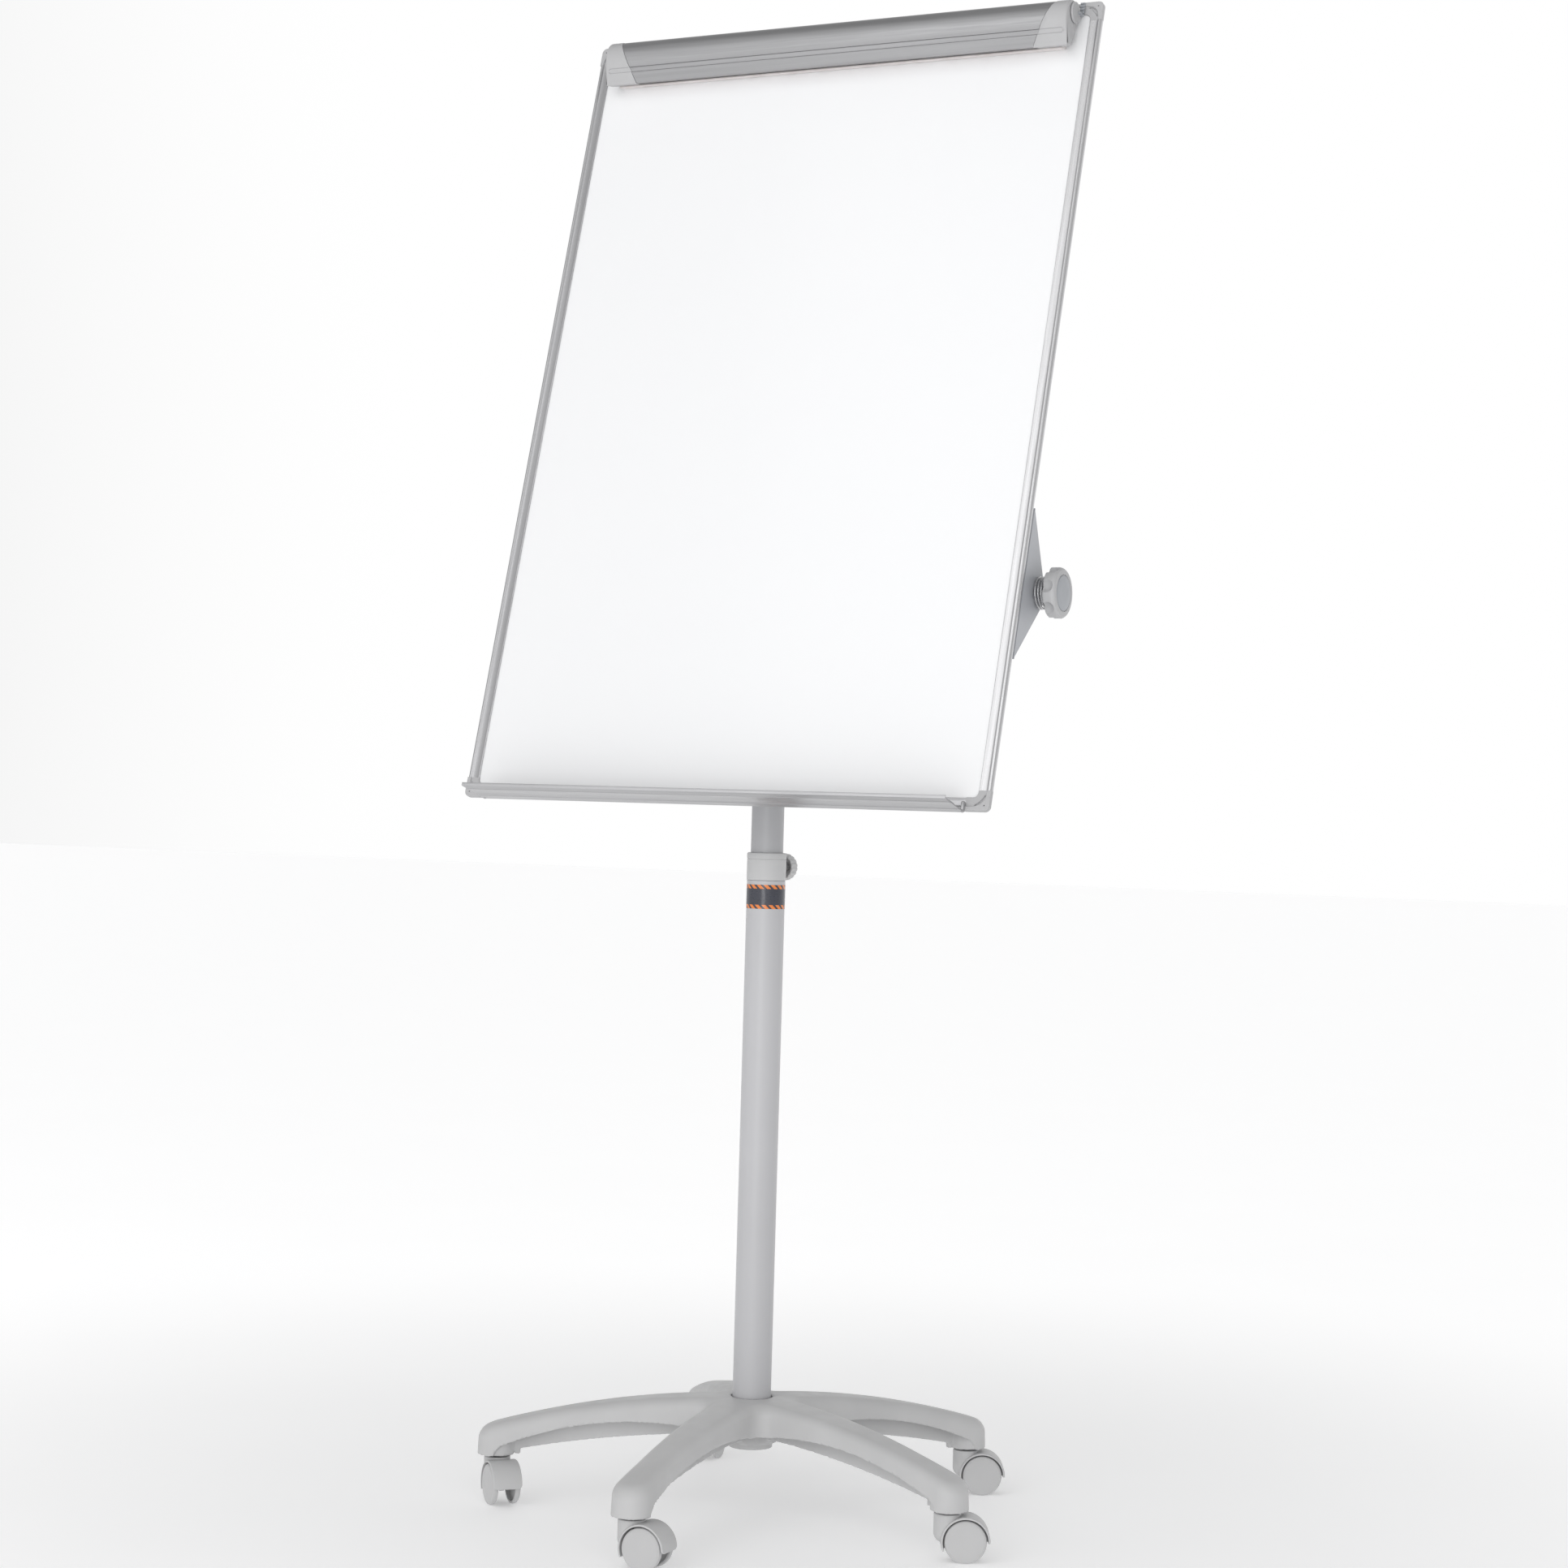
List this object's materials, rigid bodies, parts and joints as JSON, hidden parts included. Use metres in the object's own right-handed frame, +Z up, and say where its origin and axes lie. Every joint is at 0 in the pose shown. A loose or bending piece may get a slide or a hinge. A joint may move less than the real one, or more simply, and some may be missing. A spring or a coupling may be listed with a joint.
{
  "type": "flipchart easel",
  "caption": "Mobile flipchart easel: star base on castors, telescopic column, tilting framed whiteboard with a pad clamp and pen tray.",
  "frame": {"origin": "middle of the overall box on the floor; the column stands 13 mm to its left and 17.5 mm behind it", "axes": "+Z up, board faces -Y, +X to the right as seen from the front"},
  "size_m": [0.7318, 0.6319, 1.8405],
  "materials": {
    "grey_plastic": "satin moulded plastic, fine grain",
    "wheel_plastic": "satin moulded plastic",
    "painted_steel": "smooth semi-gloss powder coat",
    "corner_plastic": "satin moulded plastic",
    "aluminium": "satin anodised, drawn along its length",
    "bare_steel": "zinc plated",
    "ear_steel": "blue-grey powder coat",
    "white_lacquer": "gloss white lacquered sheet",
    "board_core": "light fibre core",
    "zinc_sheet": "galvanised sheet",
    "dark_plastic": "black moulded plastic",
    "soft_grip": "soft pale grip strip"
  },
  "bodies": {
    "base": {"star_base": "grey_plastic", "hub_plug": "grey_plastic", "outer_tube": "painted_steel", "collar": "grey_plastic", "lift_spring": "bare_steel", "castor_stem_1": "bare_steel", "castor_stem_2": "bare_steel", "castor_stem_3": "bare_steel", "castor_stem_4": "bare_steel", "castor_stem_5": "bare_steel"},
    "height_knob": {"height_knob": "grey_plastic"},
    "carriage": {"spring_seat": "dark_plastic"},
    "mast": {"inner_tube": "painted_steel", "tilt_head": "grey_plastic", "crossbar": "painted_steel", "crossbar_bolt": "bare_steel"},
    "tilt_knob": {"tilt_knob": "grey_plastic", "knob_spring": "bare_steel"},
    "board": {"writing_sheet": "white_lacquer", "board_core": "board_core", "back_sheet": "zinc_sheet", "frame_rail_left": "aluminium", "frame_rail_right": "aluminium", "frame_rail_bottom": "aluminium", "frame_rail_top": "aluminium", "frame_corner_bottom_left": "corner_plastic", "frame_corner_bottom_right": "corner_plastic", "frame_corner_top_left": "corner_plastic", "frame_corner_top_right": "corner_plastic", "tilt_ear_left": "ear_steel", "tilt_ear_right": "ear_steel", "clamp_bracket_left": "corner_plastic", "clamp_bracket_right": "corner_plastic", "pen_tray": "aluminium"},
    "clamp": {"clamp_bar": "aluminium", "clamp_grip": "soft_grip", "clamp_cap_left": "corner_plastic", "clamp_cap_right": "corner_plastic"},
    "pad_hook_left": {"pad_hook_left": "dark_plastic"},
    "pad_hook_right": {"pad_hook_right": "dark_plastic"},
    "castor_1": {"castor_hood_1": "grey_plastic", "castor_axle_1": "bare_steel"},
    "wheel_1a": {"castor_wheel_1a": "wheel_plastic"},
    "wheel_1b": {"castor_wheel_1b": "wheel_plastic"},
    "castor_2": {"castor_hood_2": "grey_plastic", "castor_axle_2": "bare_steel"},
    "wheel_2a": {"castor_wheel_2a": "wheel_plastic"},
    "wheel_2b": {"castor_wheel_2b": "wheel_plastic"},
    "castor_3": {"castor_hood_3": "grey_plastic", "castor_axle_3": "bare_steel"},
    "wheel_3a": {"castor_wheel_3a": "wheel_plastic"},
    "wheel_3b": {"castor_wheel_3b": "wheel_plastic"},
    "castor_4": {"castor_hood_4": "grey_plastic", "castor_axle_4": "bare_steel"},
    "wheel_4a": {"castor_wheel_4a": "wheel_plastic"},
    "wheel_4b": {"castor_wheel_4b": "wheel_plastic"},
    "castor_5": {"castor_hood_5": "grey_plastic", "castor_axle_5": "bare_steel"},
    "wheel_5a": {"castor_wheel_5a": "wheel_plastic"},
    "wheel_5b": {"castor_wheel_5b": "wheel_plastic"}
  },
  "joints": [
    {"name": "column_lift", "type": "slide", "parent": "base", "child": "carriage", "axis": [0, 0, 1], "range_m": [-0.24, 0.16], "deforming": ["lift_spring"]},
    {"name": "column_turn", "type": "hinge", "parent": "carriage", "child": "mast", "pos_m": [-0.013, 0.0175, 0.8], "axis": [0, 0, 1], "continuous": true},
    {"name": "board_tilt", "type": "hinge", "parent": "mast", "child": "board", "pos_m": [-0.013, 0.0175, 1.115], "axis": [-1, 0, 0], "range_deg": [-16, 74]},
    {"name": "tilt_knob_screw", "type": "hinge", "parent": "mast", "child": "tilt_knob", "pos_m": [0.347, 0.0175, 1.115], "axis": [-1, 0, 0], "range_deg": [-360, 0]},
    {"name": "height_knob_screw", "type": "hinge", "parent": "base", "child": "height_knob", "pos_m": [-0.013, 0.0675, 0.784], "axis": [0, 1, 0], "range_deg": [0, 360]},
    {"name": "clamp_lift", "type": "hinge", "parent": "board", "child": "clamp", "pos_m": [-0.013, 0.14212, 1.8235], "axis": [-1, 0, 0], "range_deg": [0, 80]},
    {"name": "pad_hook_left_slide", "type": "slide", "parent": "board", "child": "pad_hook_left", "axis": [1, 0, 0], "range_m": [-0.06, 0.06]},
    {"name": "pad_hook_right_slide", "type": "slide", "parent": "board", "child": "pad_hook_right", "axis": [1, 0, 0], "range_m": [-0.06, 0.06]},
    {"name": "castor_swivel_1", "type": "hinge", "parent": "base", "child": "castor_1", "pos_m": [0.15791, 0.27769, 0.05], "axis": [0, 0, 1], "continuous": true},
    {"name": "wheel_roll_1a", "type": "hinge", "parent": "castor_1", "child": "wheel_1a", "pos_m": [0.17618, 0.28699, 0.0245], "axis": [-0.454, 0.891, 0], "continuous": true},
    {"name": "wheel_roll_1b", "type": "hinge", "parent": "castor_1", "child": "wheel_1b", "pos_m": [0.17618, 0.28699, 0.0245], "axis": [-0.454, 0.891, 0], "continuous": true},
    {"name": "castor_swivel_2", "type": "hinge", "parent": "base", "child": "castor_2", "pos_m": [-0.20764, 0.26045, 0.05], "axis": [0, 0, 1], "continuous": true},
    {"name": "wheel_roll_2a", "type": "hinge", "parent": "castor_2", "child": "wheel_2a", "pos_m": [-0.21225, 0.28042, 0.0245], "axis": [-0.9744, -0.225, 0], "continuous": true},
    {"name": "wheel_roll_2b", "type": "hinge", "parent": "castor_2", "child": "wheel_2b", "pos_m": [-0.21225, 0.28042, 0.0245], "axis": [-0.9744, -0.225, 0], "continuous": true},
    {"name": "castor_swivel_3", "type": "hinge", "parent": "base", "child": "castor_3", "pos_m": [-0.3042, -0.09254, 0.05], "axis": [0, 0, 1], "continuous": true},
    {"name": "wheel_roll_3a", "type": "hinge", "parent": "castor_3", "child": "wheel_3a", "pos_m": [-0.28873, -0.10599, 0.0245], "axis": [0.6561, 0.7547, 0], "continuous": true},
    {"name": "wheel_roll_3b", "type": "hinge", "parent": "castor_3", "child": "wheel_3b", "pos_m": [-0.28873, -0.10599, 0.0245], "axis": [0.6561, 0.7547, 0], "continuous": true},
    {"name": "castor_swivel_4", "type": "hinge", "parent": "base", "child": "castor_4", "pos_m": [0.00166, -0.29345, 0.05], "axis": [0, 0, 1], "continuous": true},
    {"name": "wheel_roll_4a", "type": "hinge", "parent": "castor_4", "child": "wheel_4a", "pos_m": [0.02215, -0.29274, 0.0245], "axis": [-0.0349, 0.9994, 0], "continuous": true},
    {"name": "wheel_roll_4b", "type": "hinge", "parent": "castor_4", "child": "wheel_4b", "pos_m": [0.02215, -0.29274, 0.0245], "axis": [-0.0349, 0.9994, 0], "continuous": true},
    {"name": "castor_swivel_5", "type": "hinge", "parent": "base", "child": "castor_5", "pos_m": [0.28727, -0.06464, 0.05], "axis": [0, 0, 1], "continuous": true},
    {"name": "wheel_roll_5a", "type": "hinge", "parent": "castor_5", "child": "wheel_5a", "pos_m": [0.30553, -0.05534, 0.0245], "axis": [-0.454, 0.891, 0], "continuous": true},
    {"name": "wheel_roll_5b", "type": "hinge", "parent": "castor_5", "child": "wheel_5b", "pos_m": [0.30553, -0.05534, 0.0245], "axis": [-0.454, 0.891, 0], "continuous": true}
  ]
}
